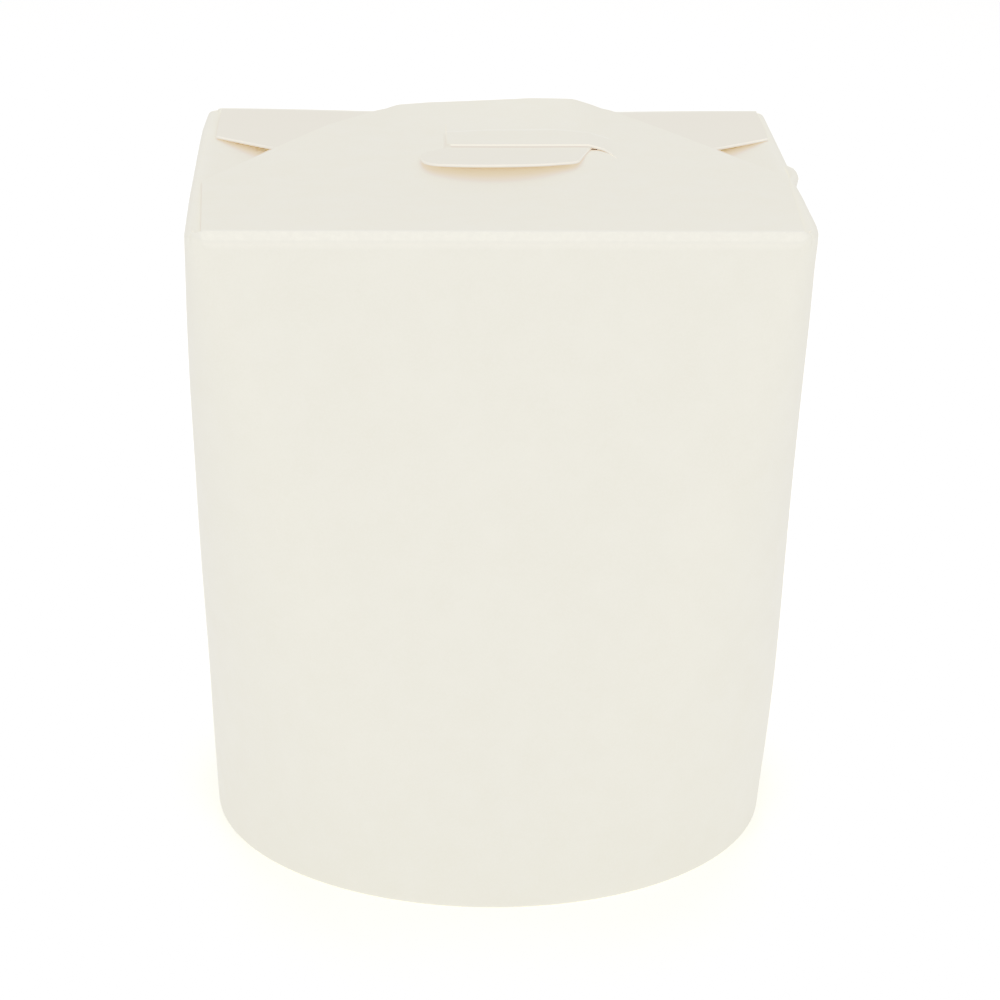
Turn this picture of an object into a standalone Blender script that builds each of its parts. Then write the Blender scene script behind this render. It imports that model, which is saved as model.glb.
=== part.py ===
"""A shut noodle takeaway box of coated paperboard.

A round foot runs up into a rectangular top. Four flaps close it: two side flaps lie lowest, the back flap
lies over them, and the front flap lies on top, locked by the back flap's tongue, which comes up through a
curved slot.

Units are metres, +Z is up, and the box stands on Z = 0 with the centre of its foot at the origin. The front,
where the uppermost flap is hinged, faces -Y.
"""

from math import cos, pi, radians, sin

import bmesh
import bpy
from mathutils import Vector

# Driving dimensions
TOP_WIDTH = 0.105
TOP_DEPTH = 0.0882
FOOT_DIAMETER = 0.1014
HEIGHT = 0.1204
BOARD = 0.00045

# Body
CORNER_RADIUS = 0.002
PANEL_BULGE = 0.0005
HEM_INSET = 0.0002
HEM_SHARE = 0.2
ARC_STEPS = 14
BODY_LEVELS = 10

# Foot: the standing ring is three boards thick, and the base disc sits inside it
FOOT_WALL = 3 * BOARD
FOOT_DEPTH = 0.007
FOOT_EDGE = 0.0002
CLEARANCE = 0.0003
DISC_RIM = 0.0012
DISC_STEPS = 72

# Top folds: stacked boards are pressed into each other a little, so that each flap bonds to what it lies on
PRESSED = 0.0001
SIDE_LEVEL = HEIGHT - BOARD + PRESSED
SIDE_FOLD_RADIUS = 0.0008
FLAP_FOLD_RADIUS = 0.0009
FOLD_PROUD = 0.0001
FOLD_SKIRT = 0.001
FOLD_STEPS = 4

# Side flaps sink towards the middle, at this slope and from this far out. They show where the upper flaps end
SIDE_SLOPE = 0.12
SIDE_SLOPE_START = TOP_WIDTH / 2 - 0.001
SINK_UNDER = 0.003
SINK_FRONT_Y = -0.0430
CUT_ABOVE = 0.002

# Back flap: its front edge shows at both sides, up to where the front flap covers it
BACK_HALF_WIDTH = 0.0502
BACK_EDGE_OUTER_Y = 0.0215
BACK_EDGE_INNER = (0.0400, 0.0145)
BACK_HIDDEN_EDGE = (0.0330, 0.0095)

# Front flap, whose sides run a little out of square to its shoulders
FRONT_FOLD_LEFT = -0.0490
FRONT_FOLD_RIGHT = 0.0503
SHOULDER_LEFT = (-0.0512, -0.0102)
SHOULDER_RIGHT = (0.0513, -0.0068)
FRONT_END_Y = 0.0435
FRONT_END_HALF = 0.0222
FRONT_END_RADIUS = 0.0050
FRONT_RIDE = BOARD - PRESSED
LIFT_START_Y = 0.026
LIFT_LEFT = 0.0013
LIFT_RIGHT = 0.0025
LIFT_TURN = (-0.019, 0.006)

# Slot, and the tongue that comes up through it, shifted a little to the left of the slot
SLOT_LEFT = -0.0083
SLOT_STRAIGHT_END = 0.0160
SLOT_Y = 0.0122
SLOT_END = (0.0222, 0.0052)
SLOT_OPEN = 0.0005
SLOT_BEHIND = 0.0001
SLOT_SUNK = 0.0006
SLOT_BEND_LEAN = 0.0015
LIP_RISE = 0.0007
LIP_CREASE_Y = 0.0265
LIP_CREASE_TOP_X = 0.012
LIP_CORNER = (0.0205, 0.0245)
LIP_RIGHT = 0.0245
TONGUE_ROOT_Y = 0.0155
TONGUE_NECK = (-0.0080, 0.0158)
TONGUE_EARS = (-0.0136, 0.0164)
TONGUE_EAR_Y = 0.0025
TONGUE_FRONT_Y = -0.0086
TONGUE_SHOULDER_Y = -0.0040
TONGUE_CORNER_IN = 0.0022
TONGUE_RISE = 0.0022
TONGUE_STEPS = 8


def empty_scene():
    for item in list(bpy.data.objects):
        bpy.data.objects.remove(item, do_unlink=True)


def new_collection(name):
    collection = bpy.data.collections.new(name)
    bpy.context.scene.collection.children.link(collection)
    return collection


def paperboard(name, colour, roughness):
    material = bpy.data.materials.new(name)
    material.use_nodes = True
    shader = material.node_tree.nodes["Principled BSDF"]
    shader.inputs["Base Color"].default_value = (*colour, 1.0)
    shader.inputs["Roughness"].default_value = roughness
    shader.inputs["Metallic"].default_value = 0.0
    return material


def add_object(name, data, collection):
    item = bpy.data.objects.new(name, data)
    collection.objects.link(item)
    return item


def hide_as_cutter(item):
    item.hide_render = True
    item.display_type = "WIRE"


def bend(start, corner, end, steps):
    """Points of a smooth turn from start to end that heads for the corner between them."""
    points = []
    for step in range(steps + 1):
        share = step / steps
        point = start * (1 - share) ** 2 + corner * 2 * share * (1 - share) + end * share**2
        points.append((point.x, point.y))
    return points


def smooth_step(value, low, high):
    """Eases from 0 at low to 1 at high."""
    share = min(1.0, max(0.0, (value - low) / (high - low)))
    return share * share * (3 - 2 * share)


def section(level, inset=0.0):
    """The body's outline at one level: a rectangle whose corners grow into the round foot."""
    share = level / HEIGHT
    radius = FOOT_DIAMETER / 2 * (1 - share) + CORNER_RADIUS * share
    radius += PANEL_BULGE * 4 * share * (1 - share)
    radius -= HEM_INSET * max(0.0, 1 - share / HEM_SHARE) ** 2 + inset
    reach_x = share * (TOP_WIDTH / 2 - CORNER_RADIUS)
    reach_y = share * (TOP_DEPTH / 2 - CORNER_RADIUS)
    return rounded_corners(reach_x, reach_y, radius, level)


def rounded_corners(reach_x, reach_y, radius, level):
    points = []
    for quarter in range(4):
        centre_x = reach_x if quarter in (0, 3) else -reach_x
        centre_y = reach_y if quarter in (0, 1) else -reach_y
        for step in range(ARC_STEPS + 1):
            angle = pi / 2 * (quarter + step / ARC_STEPS)
            points.append(Vector((centre_x + radius * cos(angle), centre_y + radius * sin(angle), level)))
    return points


def body_rings():
    """Rings from the ceiling of the foot's recess, round the standing edge and up to the side flaps."""
    inner = FOOT_DIAMETER / 2 - FOOT_WALL
    rings = [rounded_corners(0, 0, inner, FOOT_DEPTH)]
    rings.append(rounded_corners(0, 0, inner, FOOT_EDGE))
    rings.append(rounded_corners(0, 0, inner + FOOT_EDGE, 0))
    rings.append(rounded_corners(0, 0, FOOT_DIAMETER / 2 - HEM_INSET - FOOT_EDGE, 0))
    top = SIDE_LEVEL - SIDE_FOLD_RADIUS
    rings += [section(FOOT_EDGE + (top - FOOT_EDGE) * step / BODY_LEVELS) for step in range(BODY_LEVELS + 1)]
    for step in range(1, FOLD_STEPS + 1):
        angle = pi / 2 * step / FOLD_STEPS
        rings.append(section(top + SIDE_FOLD_RADIUS * sin(angle), SIDE_FOLD_RADIUS * (1 - cos(angle))))
    return rings


def loft(name, rings, collection):
    """A closed skin through rings of the same number of points, with a flat face at each end."""
    bm = bmesh.new()
    rows = [[bm.verts.new(point) for point in ring] for ring in rings]
    count = len(rings[0])
    for low, high in zip(rows, rows[1:]):
        for i in range(count):
            bm.faces.new((low[i], low[(i + 1) % count], high[(i + 1) % count], high[i]))
    bm.faces.new(rows[0])
    bm.faces.new(rows[-1])
    bmesh.ops.remove_doubles(bm, verts=bm.verts, dist=1e-6)
    bmesh.ops.recalc_face_normals(bm, faces=bm.faces)
    mesh = bpy.data.meshes.new(name)
    bm.to_mesh(mesh)
    bm.free()
    return add_object(name, mesh, collection)


def flat_board(name, outline, collection):
    """A flat outline with the board's thickness, as a mesh."""
    curve = bpy.data.curves.new(name, "CURVE")
    curve.dimensions = "2D"
    curve.fill_mode = "BOTH"
    curve.extrude = BOARD / 2
    spline = curve.splines.new("POLY")
    spline.points.add(len(outline) - 1)
    for point, (x, y) in zip(spline.points, outline):
        point.co = (x, y, 0, 1)
    spline.use_cyclic_u = True
    source = add_object(name + "_outline", curve, collection)
    bpy.context.view_layer.update()
    evaluated = source.evaluated_get(bpy.context.evaluated_depsgraph_get())
    mesh = bpy.data.meshes.new_from_object(evaluated)
    board = add_object(name, mesh, collection)
    board.matrix_world = source.matrix_world
    bpy.data.objects.remove(source, do_unlink=True)
    return board


def bent_board(name, outline, folds_x, folds_y, place, collection):
    """A flat outline cut along lines of X and Y, then bent: place gives the points of its two faces."""
    board = flat_board(name, outline, collection)
    bm = bmesh.new()
    bm.from_mesh(board.data)
    bmesh.ops.remove_doubles(bm, verts=bm.verts, dist=1e-6)
    bmesh.ops.dissolve_limit(bm, angle_limit=radians(0.1), verts=bm.verts, edges=bm.edges)
    lines = [((x, 0, 0), (1, 0, 0)) for x in folds_x] + [((0, y, 0), (0, 1, 0)) for y in folds_y]
    for point, normal in lines:
        geometry = bm.verts[:] + bm.edges[:] + bm.faces[:]
        bmesh.ops.bisect_plane(bm, geom=geometry, plane_co=point, plane_no=normal, dist=1e-7)
    for vertex in bm.verts:
        vertex.co = place(vertex.co.x, vertex.co.y, vertex.co.z > 0)
    bmesh.ops.recalc_face_normals(bm, faces=bm.faces)
    bm.to_mesh(board.data)
    bm.free()
    hide_as_cutter(board)
    return board


def fold_lines(side):
    """Where a flap's board is cut to bend round its fold, as Y of the flat outline."""
    start = TOP_DEPTH / 2 + FOLD_PROUD - FLAP_FOLD_RADIUS
    arc = FLAP_FOLD_RADIUS * pi / 2
    return [side * (start + arc * step / FOLD_STEPS) for step in range(FOLD_STEPS + 1)]


def over_fold(x, y, side, rise, depth):
    """A point of a flap: flat inside the fold, then round it and a little way down the panel below."""
    start = TOP_DEPTH / 2 + FOLD_PROUD - FLAP_FOLD_RADIUS
    over = side * y - start
    if over <= 0:
        return Vector((x, y, HEIGHT + rise - depth))
    angle = min(over / FLAP_FOLD_RADIUS, pi / 2)
    skirt = max(0.0, over - FLAP_FOLD_RADIUS * pi / 2)
    sunk = 2 * FOLD_PROUD * skirt / FOLD_SKIRT
    out = start + (FLAP_FOLD_RADIUS - depth) * sin(angle) - sunk
    drop = FLAP_FOLD_RADIUS - (FLAP_FOLD_RADIUS - depth) * cos(angle)
    return Vector((x, side * out, HEIGHT - drop - skirt))


def unfolded_end():
    """Y of a flap's skirt edge in the flat outline."""
    return TOP_DEPTH / 2 + FOLD_PROUD - FLAP_FOLD_RADIUS + FLAP_FOLD_RADIUS * pi / 2 + FOLD_SKIRT


def back_flap(collection):
    inner_x, inner_y = BACK_EDGE_INNER
    hidden_x, hidden_y = BACK_HIDDEN_EDGE
    half = [
        (BACK_HALF_WIDTH, unfolded_end()),
        (BACK_HALF_WIDTH, BACK_EDGE_OUTER_Y),
        (inner_x, inner_y),
        (hidden_x, hidden_y),
    ]
    outline = [(-x, y) for x, y in half] + half[::-1]

    def place(x, y, outer):
        return over_fold(x, y, 1, 0, 0 if outer else BOARD)

    return bent_board("back_flap", outline, [], fold_lines(1), place, collection)


def front_ride(y):
    """The front flap climbs from its fold onto the back flap."""
    return FRONT_RIDE * smooth_step(y, -TOP_DEPTH / 2, BACK_HIDDEN_EDGE[1])


def front_lift(x, y):
    """The front flap's free end springs up, more at the right."""
    share = max(0.0, (y - LIFT_START_Y) / (FRONT_END_Y - LIFT_START_Y))
    return (LIFT_LEFT + (LIFT_RIGHT - LIFT_LEFT) * smooth_step(x, *LIFT_TURN)) * share**1.5


def front_flap_side(side, fold_x, shoulder):
    """One side of the flap's outline, from its skirt to its free end, whose corner is rounded."""
    corner = Vector((side * FRONT_END_HALF, FRONT_END_Y))
    start = corner + (Vector(shoulder) - corner).normalized() * FRONT_END_RADIUS
    end = corner - Vector((side * FRONT_END_RADIUS, 0))
    sides = [(fold_x, -unfolded_end()), (fold_x, -TOP_DEPTH / 2), shoulder]
    return sides + bend(start, corner, end, FOLD_STEPS)


def front_flap_outline():
    right = front_flap_side(1, FRONT_FOLD_RIGHT, SHOULDER_RIGHT)
    left = front_flap_side(-1, FRONT_FOLD_LEFT, SHOULDER_LEFT)
    return right + left[::-1]


def front_flap(collection):
    def place(x, y, outer):
        rise = front_ride(y) + front_lift(x, y)
        if outer:
            return over_fold(x, y, -1, rise, 0)
        depth = BOARD if y > LIFT_START_Y else BOARD + rise
        return over_fold(x, y, -1, rise, depth)

    folds_y = fold_lines(-1) + [-0.030, -0.015, 0, 0.010, LIFT_START_Y, 0.028, 0.031, 0.034, 0.037, 0.040]
    folds_x = [-0.017, -0.010, -0.003, 0.004]
    return bent_board("front_flap", front_flap_outline(), folds_x, folds_y, place, collection)


def slot_curve():
    """The slot's line from left to right: straight, then bending forwards."""
    corner = Vector((SLOT_END[0] - SLOT_BEND_LEAN, SLOT_Y))
    turn = bend(Vector((SLOT_STRAIGHT_END, SLOT_Y)), corner, Vector(SLOT_END), FOLD_STEPS)
    return [(SLOT_LEFT, SLOT_Y)] + turn


def slot_lip(collection):
    """The board behind the slot, pushed up by the tongue and hinged on a crease."""
    outline = slot_curve() + [(LIP_RIGHT, SLOT_Y), LIP_CORNER]
    outline += [(LIP_CREASE_TOP_X, LIP_CREASE_Y), (SLOT_LEFT, LIP_CREASE_Y)]

    def place(x, y, outer):
        back = (LIP_CREASE_Y - y) / (LIP_CREASE_Y - SLOT_Y)
        right = min(1.0, (LIP_RIGHT - x) / (LIP_RIGHT - SLOT_STRAIGHT_END))
        top = HEIGHT + FRONT_RIDE - PRESSED + LIP_RISE * back * right
        return Vector((x, y, top if outer else HEIGHT))

    return bent_board("slot_lip", outline, [SLOT_STRAIGHT_END], [SLOT_Y], place, collection)


def tongue_outline():
    """A narrow neck, an ear to each side and a rounded front."""
    left, right = TONGUE_EARS
    start = Vector((left + TONGUE_CORNER_IN, TONGUE_SHOULDER_Y))
    end = Vector((right - TONGUE_CORNER_IN, TONGUE_SHOULDER_Y))
    crown = Vector(((left + right) / 2, 2 * TONGUE_FRONT_Y - TONGUE_SHOULDER_Y))
    neck_left = [(TONGUE_NECK[0], TONGUE_ROOT_Y), (TONGUE_NECK[0], SLOT_Y), (left, TONGUE_EAR_Y)]
    neck_right = [(right, TONGUE_EAR_Y), (TONGUE_NECK[1], SLOT_Y), (TONGUE_NECK[1], TONGUE_ROOT_Y)]
    return neck_left + bend(start, crown, end, TONGUE_STEPS) + neck_right


def tongue(collection):
    root = FRONT_RIDE - PRESSED

    def place(x, y, outer):
        share = (TONGUE_ROOT_Y - y) / (TONGUE_ROOT_Y - TONGUE_FRONT_Y)
        top = HEIGHT + root + (TONGUE_RISE - root) * share
        return Vector((x, y, top if outer else top - BOARD))

    return bent_board("tongue", tongue_outline(), [], [SLOT_Y, TONGUE_EAR_Y], place, collection)


def side_sink(side, collection):
    """What is taken away above a side flap, which sinks towards the middle of the box."""
    out = TOP_WIDTH / 2 + SIDE_FOLD_RADIUS
    strip = SHOULDER_RIGHT[0] - SINK_UNDER
    inner_x, inner_y = BACK_EDGE_INNER
    shoulder_y = (SHOULDER_LEFT[1] + SHOULDER_RIGHT[1]) / 2
    outline = [(out, SINK_FRONT_Y), (strip, SINK_FRONT_Y), (strip, shoulder_y)]
    outline += [(inner_x - SINK_UNDER, inner_y - SINK_UNDER), (inner_x - SINK_UNDER, inner_y + SINK_UNDER)]
    outline = [(side * x, y) for x, y in outline + [(out, BACK_EDGE_OUTER_Y + SINK_UNDER)]]

    def place(x, y, outer):
        floor = SIDE_LEVEL + SIDE_SLOPE * (side * x - SIDE_SLOPE_START)
        return Vector((x, y, HEIGHT + CUT_ABOVE if outer else floor))

    name = "side_sink_right" if side > 0 else "side_sink_left"
    return bent_board(name, outline, [], [], place, collection)


def slot_gap(collection):
    """The slot's right end, which the tongue leaves open."""
    curve = slot_curve()[2:]
    front = [(x, y - SLOT_OPEN) for x, y in curve]
    back = [(x, y + SLOT_BEHIND) for x, y in curve]

    def place(x, y, outer):
        return Vector((x, y, HEIGHT + CUT_ABOVE if outer else HEIGHT - SLOT_SUNK))

    return bent_board("slot_gap", front + back[::-1], [], [], place, collection)


def combine(item, other, operation):
    step = item.modifiers.new(other.name, "BOOLEAN")
    step.operation = operation
    step.object = other
    step.solver = "EXACT"


def carton(parts, cutters):
    """The folded blank: the body with its four flaps, solid inside because it is shut."""
    body = loft("carton", body_rings(), parts)
    combine(body, side_sink(-1, cutters), "DIFFERENCE")
    combine(body, side_sink(1, cutters), "DIFFERENCE")
    combine(body, back_flap(cutters), "UNION")
    combine(body, front_flap(cutters), "UNION")
    combine(body, slot_lip(cutters), "UNION")
    combine(body, tongue(cutters), "UNION")
    combine(body, slot_gap(cutters), "DIFFERENCE")
    body.data.materials.append(paperboard("cream_coated_board", (0.87, 0.85, 0.74), 0.45))
    return body


def base_disc(parts):
    """The round board pressed into the foot, with its rim turned down."""
    top = FOOT_DEPTH - CLEARANCE
    outer = FOOT_DIAMETER / 2 - FOOT_WALL - CLEARANCE
    bend = 2 * BOARD
    profile = [(0, top)]
    for step in range(FOLD_STEPS + 1):
        angle = pi / 2 * step / FOLD_STEPS
        profile.append((outer - bend + bend * sin(angle), top - bend + bend * cos(angle)))
    profile += [(outer, top - bend - DISC_RIM), (outer - BOARD, top - bend - DISC_RIM)]
    for step in range(FOLD_STEPS + 1):
        angle = pi / 2 * (1 - step / FOLD_STEPS)
        profile.append((outer - bend + (bend - BOARD) * sin(angle), top - bend + (bend - BOARD) * cos(angle)))
    profile.append((0, top - BOARD))
    mesh = bpy.data.meshes.new("base_disc")
    edges = [(i, i + 1) for i in range(len(profile) - 1)]
    mesh.from_pydata([(x, 0, z) for x, z in profile], edges, [])
    disc = add_object("base_disc", mesh, parts)
    turn = disc.modifiers.new("turn", "SCREW")
    turn.angle = 2 * pi
    turn.steps = DISC_STEPS
    turn.render_steps = DISC_STEPS
    turn.use_merge_vertices = True
    turn.merge_threshold = 1e-5
    turn.use_smooth_shade = True
    mesh.materials.append(paperboard("cream_base_board", (0.86, 0.84, 0.75), 0.6))
    return disc


def main():
    empty_scene()
    parts = new_collection("noodle_box")
    cutters = new_collection("noodle_box_cutters")
    box = carton(parts, cutters)
    box.data.shade_smooth()
    base_disc(parts)


main()
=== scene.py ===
"""A shut noodle takeaway box of cream coated paperboard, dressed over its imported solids.

Lengths are metres. The front, where the uppermost flap is hinged, faces -Y, and the box stands on Z = 0.
"""

from math import cos, pi, sin

import bmesh
import bpy
import numpy as np
from mathutils import Euler, Matrix, Vector, noise
from mathutils.geometry import delaunay_2d_cdt


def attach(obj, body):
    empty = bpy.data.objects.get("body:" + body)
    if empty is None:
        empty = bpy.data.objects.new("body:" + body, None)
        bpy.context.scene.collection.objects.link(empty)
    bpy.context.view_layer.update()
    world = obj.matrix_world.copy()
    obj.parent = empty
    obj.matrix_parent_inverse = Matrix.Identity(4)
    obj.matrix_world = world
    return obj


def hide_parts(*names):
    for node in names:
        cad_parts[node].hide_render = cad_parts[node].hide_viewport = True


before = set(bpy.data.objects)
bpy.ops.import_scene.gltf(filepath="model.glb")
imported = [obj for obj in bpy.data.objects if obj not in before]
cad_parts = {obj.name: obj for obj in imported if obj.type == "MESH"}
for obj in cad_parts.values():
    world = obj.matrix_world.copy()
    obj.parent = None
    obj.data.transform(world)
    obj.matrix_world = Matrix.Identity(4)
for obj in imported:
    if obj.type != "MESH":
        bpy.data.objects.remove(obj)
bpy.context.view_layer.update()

# Driving dimensions, the same as the solids have
TOP_WIDTH = 0.105
TOP_DEPTH = 0.0882
FOOT_DIAMETER = 0.1014
HEIGHT = 0.1204
BOARD = 0.00045
CORNER_RADIUS = 0.002
PANEL_BULGE = 0.0005
FOOT_WALL = 3 * BOARD
FOOT_DEPTH = 0.007
CLEARANCE = 0.0003

# The foot's folded hem: its inset, its squareness (1 is round) and the levels of its inner wall
HEM_INSET = 0.00002
HEM_SQUARE = 0.5
HEM_SHARE = 0.2
HEM_INNER_LEVELS = (0.0045, 0.002)

# Mesh density
CORNER_STEPS = 40
PANEL_STEPS = 84
BODY_LEVELS = 118
LEVEL_CROWD = 0.12
HEM_STEPS = 16
WIDE_SPACING = 0.0009
FINE_SPACING = 0.00042
RIM_GAP = 0.55
HOLE_GAP = 0.6
GRID_TALL = 0.866
SLOT_BEND_STEPS = 14
DOOR_TURN_STEPS = 5
FRONT_TURN_STEPS = 12
TONGUE_FRONT_STEPS = 24
SHARP_ANGLE = 0.8

# Distances and angles below these count as none
SAME_PLACE = 1e-8
SAME_DISC_PLACE = 1e-7
SAME_FLAT_PLACE = 1e-9
SAME_TURN = 1e-9
NO_LENGTH = 1e-12

# The body's corners in turn, as signs of x and y, and the sine beyond which a place faces a side
CORNERS = [(1, 1), (-1, 1), (-1, -1), (1, -1)]
FACING = 0.9
SMALLEST_RADIUS = 0.00005

# Folds: how far in from the panel and how far below the crest the board is, point by point
FLAP_FOLD = [
    (0.0, 0.0021), (0.00002, 0.0018), (0.00008, 0.0015), (0.00018, 0.0012), (0.00030, 0.0009),
    (0.00042, 0.0006), (0.00054, 0.00033), (0.00065, 0.00013), (0.00075, 0.00003), (0.00085, 0.0),
    (0.00105, 0.00005), (0.0013, 0.00030), (0.0017, 0.00062), (0.0028, 0.00090),
]
SIDE_FOLD = [
    (0.0, 0.00085), (0.00003, 0.00066), (0.00010, 0.00048), (0.00020, 0.00033), (0.00032, 0.00021),
    (0.00045, 0.00012), (0.00059, 0.00006), (0.00073, 0.00002), (0.00087, 0.0), (0.00100, 0.0),
    (0.00125, 0.00006), (0.0015, 0.00030), (0.0020, 0.00065), (0.0030, 0.00100),
]
SIDE_DROP = 0.00040
FOLD_END_EASE = 0.0010
INNER_RINGS = [(0.008, 0.0022), (0.016, 0.0034), (0.030, 0.0052)]

# Paleness of the folds, from wear and a painted highlight: the rings that are pale in full, the rest, and the
# side folds
WORN_AND_HIGHLIT_RINGS = range(3, 12)
FOLD_RIM_WEAR_AND_HIGHLIGHT = 0.5
SIDE_WEAR_AND_HIGHLIGHT = 0.25
FOLD_WEAR_AND_HIGHLIGHT_REACH = 0.0012

# The front flap's outline, measured on the flat lid
FRONT_FOLD_LEFT = -0.0497
FRONT_FOLD_RIGHT = 0.0503
SHOULDER_LEFT = (-0.0512, -0.0102)
SHOULDER_RIGHT = (0.0513, -0.0068)
FRONT_END_Y = 0.0435
FRONT_END_LEFT = -0.0200
FRONT_END_RIGHT = 0.0224
FRONT_SIDE_LEFT = (-0.0300, 0.0290)
FRONT_SIDE_RIGHT = (0.0306, 0.0290)
FRONT_END_TURN_LEFT = (0.0036, 0.0018)
FRONT_END_TURN_RIGHT = (0.0030, 0.0020)
FRONT_CREST_Y = -TOP_DEPTH / 2 + 0.00085
FRONT_DROP = 0.00010
FRONT_FINE_AREA = ((-0.014, -0.001), (0.0265, 0.0335))

# The back flap's outline
BACK_CREST_Y = TOP_DEPTH / 2 - 0.00085
BACK_LEFT = 0.0502
BACK_RIGHT = 0.0510
BACK_EDGE_OUTER_Y = 0.0217
BACK_EDGE_INNER = (0.0400, 0.0145)
BACK_HIDDEN_EDGE = (0.0330, 0.0095)
BACK_HIDDEN_LEFT = [(-0.0180, 0.0128), (-0.0105, 0.0150)]
BACK_SLOT_CLEAR = (0.0265, 0.0160)
BACK_FINE_AREA = ((-0.0145, -0.0095), (0.0175, 0.0190))

# The side flaps
SIDE_START_X = TOP_WIDTH / 2 - 0.0009
SIDE_END_X = 0.0300
SIDE_HALF_DEPTH = 0.0432
SIDE_TAPER = 0.006
SIDE_CORNER_CUT = (0.0016, 0.0030)
SIDE_SLOPE = 0.15
SIDE_SINK = 0.00022
SIDE_SINK_SPAN = (0.0006, 0.0040)
SIDE_WARP_SPAN = (0.040, 0.050)
SIDE_FOLD_SINK = 0.00002

# The lid's warp: how high the rear corners stand, and where that begins and ends
REAR_RISE = 0.00010
REAR_LEFT_WARP = 0.00075
REAR_RIGHT_WARP = 0.00052
WARP_LEFT_SPAN = (0.004, 0.050)
WARP_RIGHT_SPAN = (0.000, 0.050)
WARP_DEPTH_SPAN = (-0.012, 0.044)

# Heights of the front and back flap
FLAP_SINK = 0.00003
FRONT_RISE = 0.00082
FRONT_RISE_END_Y = 0.041
FRONT_RISE_CURVE = 0.85
BACK_RISE = 0.00034
BACK_RISE_SPAN = (0.012, 0.043)
BACK_EASE_Y = 0.030
LIFT_START_Y = 0.026
LIFT_CURVE = 1.5
FREE_END_LIFT = [
    (-0.0208, -0.00030), (-0.0192, -0.00020), (-0.0170, 0.00058), (-0.0108, 0.00118), (0.0010, 0.00174),
    (0.0082, 0.00206), (0.0135, 0.00194), (0.0162, 0.00184), (0.0194, 0.00082), (0.0217, -0.00004),
    (0.0235, -0.0001),
]
LIFT_SOFTEN = 0.0005
LIFT_SAMPLES = 7

# The slot, the door behind it with its lip and crease, and the pressed board in front of it
SLOT_LEFT = -0.0083
SLOT_STRAIGHT_END = 0.0160
SLOT_Y = 0.0122
SLOT_END = (0.0222, 0.0052)
SLOT_BEND_LEAN = 0.0015
SLOT_PRESS = 0.00030
SLOT_PRESS_REACH = 0.0055
SLOT_PRESS_CURVE = 1.5
SLOT_PRESS_START = 0.003
SLOT_PRESS_END = (0.0160, 0.0195)
DOOR_CUT_END = (-0.0081, 0.0308)
DOOR_CUT_LEAN = 0.00015
DOOR_CUT_TURN = 0.0012
CUT_HALF = 0.00004
LIP_RISE = 0.00095
LIP_CURVE = 0.9
LIP_RIGHT = 0.0222
LIP_CREASE = [(-0.0083, 0.0250), (0.0000, 0.0266), (0.0123, 0.0268), (0.0180, 0.0245), (0.0245, 0.0160)]
LIP_END = [
    (0.0172, 1.0), (0.0179, 0.95), (0.0185, 0.82), (0.0192, 0.75), (0.0202, 0.66), (0.0209, 0.46),
    (0.0216, 0.18), (0.0222, 0.0),
]
CREASE_RIGHT = 0.0215
CREASE_DEPTH = 0.00005
CREASE_HALF = 0.00028
# The crease is paler from wear and a painted highlight
CREASE_WEAR_AND_HIGHLIGHT = 0.8
CREASE_WEAR_AND_HIGHLIGHT_HALF = 0.0004

# The tongue
TONGUE_ROOT_Y = 0.0185
TONGUE_NECK = (-0.0080, 0.0178)
TONGUE_NECK_EASE = 0.004
TONGUE_NECK_REACH = 0.0065
TONGUE_CUT = 0.0008
TONGUE_CUT_Y = (0.0148, 0.0150)
TONGUE_LEFT = [(-0.0104, 0.0089), (-0.0123, 0.0064), (-0.0130, 0.0042), (-0.0130, 0.0002), (-0.0124, -0.0032)]
TONGUE_RIGHT = [(0.0137, -0.0026), (0.0150, -0.0008), (0.0157, 0.0028), (0.0167, 0.0080)]
TONGUE_FRONT_Y = -0.0099
TONGUE_SHOULDER_Y = (-0.0058, -0.0040)
TONGUE_SPAN = (-0.0108, 0.0118)
TONGUE_AT_SLOT = 0.00088
TONGUE_RISE = 0.00312
TONGUE_CURVE = 1.1
TONGUE_DROOP = 0.00050

# The board's cut edge: how far down the thickness, as a share, and how far out
EDGE_PROFILE = [(0, 0), (0.12, 0.00002), (0.5, 0.000028), (0.88, 0.00002), (1, 0)]

# Small unevenness of real board: height, length and a seed for its place
PANEL_WAVE = 0.00010
PANEL_WAVE_LENGTH = 0.035
PANEL_WAVE_SEED = 5.3
PANEL_WAVE_SPAN = (0.0, 0.015)
LID_WAVE = 0.00006
LID_WAVE_LENGTH = 0.020
LID_WAVE_SEED = 2.1
LID_WAVE_EASE = 0.01

# Bows of the side folds by place from front to back, and of the sides by level
SIDE_BOW = 0.00035
SIDE_BOW_LEFT = [
    (-0.0441, 0.0), (-0.030, 0.00028), (-0.015, 0.00056), (0.0, 0.00065), (0.012, 0.00072),
    (0.022, 0.00074), (0.030, 0.00072), (0.037, 0.00048), (0.0441, 0.0002),
]
SIDE_BOW_RIGHT = [
    (-0.0441, 0.0), (-0.0425, 0.00012), (-0.040, 0.00046), (-0.037, 0.00064), (-0.034, 0.00068),
    (-0.027, 0.00062), (-0.018, 0.00058), (-0.010, 0.00036), (-0.002, 0.00038), (0.010, 0.00032),
    (0.022, 0.00022), (0.032, 0.00010), (0.0441, 0.0),
]
SIDE_BOW_REACH = 0.045
SIDE_FACING_CURVE = 8
SIDE_BOW_EDGE = 0.004
SIDE_FORM_LEFT = [
    (0.0, 0.0), (0.008, -0.00003), (0.015, -0.00006), (0.022, -0.00011), (0.030, -0.00014),
    (0.037, -0.00011), (0.045, -0.00002), (0.053, 0.00004), (0.060, 0.00008), (0.067, 0.00011),
    (0.074, 0.00015), (0.082, 0.00024), (0.090, 0.00029), (0.097, 0.00026), (0.104, 0.00018),
    (0.112, 0.00006), (0.1204, 0.0),
]
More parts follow.
